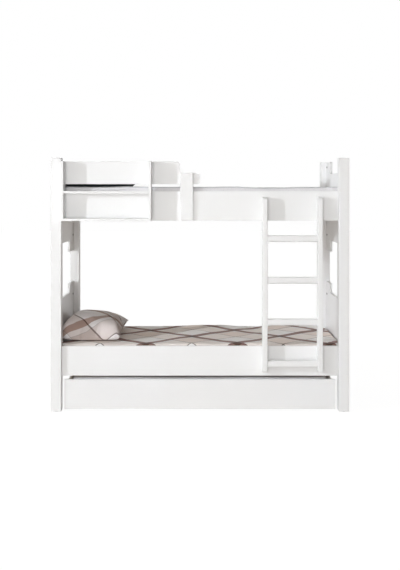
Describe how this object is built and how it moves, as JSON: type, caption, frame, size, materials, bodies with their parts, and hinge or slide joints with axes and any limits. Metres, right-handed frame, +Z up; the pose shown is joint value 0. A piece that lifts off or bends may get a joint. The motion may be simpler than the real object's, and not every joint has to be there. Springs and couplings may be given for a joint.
{
  "type": "bunk bed with trundle",
  "caption": "White board bunk bed with square posts, a front shelf box, a short guard, an upright ladder, made-up bunks and a low trundle that rolls out at the front.",
  "frame": {"origin": "floor level under the middle of the whole part's plan outline, which takes in the shelf and the ladder", "axes": "+Z up, X along the bed with the head and pillows at -X, the ladder, shelf and trundle front facing -Y"},
  "size_m": [2, 1.075, 1.7033],
  "materials": {
    "white_lacquer": "semi-matt white paint over flat board",
    "pale_pine": "planed, unfinished pine",
    "zinc_steel": "bright zinc plating",
    "grey_plastic": "moulded, matt",
    "white_ticking": "quilted woven ticking",
    "plaid_cotton": "woven cotton with a printed plaid",
    "navy_cotton": "plain woven cotton"
  },
  "bodies": {
    "bed": {"post_front_left": "white_lacquer", "post_front_right": "white_lacquer", "post_rear_left": "white_lacquer", "post_rear_right": "white_lacquer", "lower_front_rail": "white_lacquer", "lower_rear_rail": "white_lacquer", "upper_front_rail": "white_lacquer", "upper_rear_rail": "white_lacquer", "lower_end_panel_left": "white_lacquer", "lower_end_panel_right": "white_lacquer", "upper_end_panel_left": "white_lacquer", "upper_end_panel_right": "white_lacquer", "guard_board": "white_lacquer", "guard_upright": "white_lacquer", "shelf_side_left": "white_lacquer", "shelf_side_right": "white_lacquer", "shelf_bottom": "white_lacquer", "shelf_middle": "white_lacquer", "ladder_stile_left": "white_lacquer", "ladder_stile_right": "white_lacquer", "ladder_rung_1": "white_lacquer", "ladder_rung_2": "white_lacquer", "ladder_rung_3": "white_lacquer", "ladder_rung_4": "white_lacquer", "glide_front_left": "grey_plastic", "glide_front_right": "grey_plastic", "glide_rear_left": "grey_plastic", "glide_rear_right": "grey_plastic", "lower_ledger_front": "pale_pine", "lower_ledger_rear": "pale_pine", "upper_ledger_front": "pale_pine", "upper_ledger_rear": "pale_pine", "lower_slat_base": "pale_pine", "upper_slat_base": "pale_pine", "ladder_screw_lower_left": "zinc_steel", "ladder_screw_lower_right": "zinc_steel", "ladder_screw_upper_left": "zinc_steel", "ladder_screw_upper_right": "zinc_steel", "lower_mattress": "plaid_cotton", "upper_mattress": "white_ticking", "lower_pillow": "plaid_cotton", "upper_pillow": "navy_cotton"},
    "trundle": {"trundle_front": "white_lacquer", "trundle_back": "white_lacquer", "trundle_side_left": "white_lacquer", "trundle_side_right": "white_lacquer", "trundle_base": "white_lacquer", "wheel_bracket_front_left": "zinc_steel", "wheel_bracket_front_right": "zinc_steel", "wheel_bracket_rear_left": "zinc_steel", "wheel_bracket_rear_right": "zinc_steel", "wheel_axle_front_left": "zinc_steel", "wheel_axle_front_right": "zinc_steel", "wheel_axle_rear_left": "zinc_steel", "wheel_axle_rear_right": "zinc_steel", "trundle_mattress": "white_ticking"},
    "wheel_front_left_body": {"wheel_front_left": "grey_plastic"},
    "wheel_front_right_body": {"wheel_front_right": "grey_plastic"},
    "wheel_rear_left_body": {"wheel_rear_left": "grey_plastic"},
    "wheel_rear_right_body": {"wheel_rear_right": "grey_plastic"}
  },
  "joints": [
    {"name": "trundle_slide", "type": "slide", "parent": "bed", "child": "trundle", "axis": [0, -1, 0], "range_m": [0, 0.85]},
    {"name": "wheel_spin_front_left", "type": "hinge", "parent": "trundle", "child": "wheel_front_left_body", "pos_m": [-0.759, -0.3025, 0.025], "axis": [1, 0, 0], "continuous": true},
    {"name": "wheel_spin_front_right", "type": "hinge", "parent": "trundle", "child": "wheel_front_right_body", "pos_m": [0.759, -0.3025, 0.025], "axis": [1, 0, 0], "continuous": true},
    {"name": "wheel_spin_rear_left", "type": "hinge", "parent": "trundle", "child": "wheel_rear_left_body", "pos_m": [-0.759, 0.3415, 0.025], "axis": [1, 0, 0], "continuous": true},
    {"name": "wheel_spin_rear_right", "type": "hinge", "parent": "trundle", "child": "wheel_rear_right_body", "pos_m": [0.759, 0.3415, 0.025], "axis": [1, 0, 0], "continuous": true}
  ],
  "couplings": [
    {"joint": "wheel_spin_front_left", "follows": "trundle_slide", "rad_per_m": 40},
    {"joint": "wheel_spin_front_right", "follows": "trundle_slide", "rad_per_m": 40},
    {"joint": "wheel_spin_rear_left", "follows": "trundle_slide", "rad_per_m": 40},
    {"joint": "wheel_spin_rear_right", "follows": "trundle_slide", "rad_per_m": 40}
  ]
}
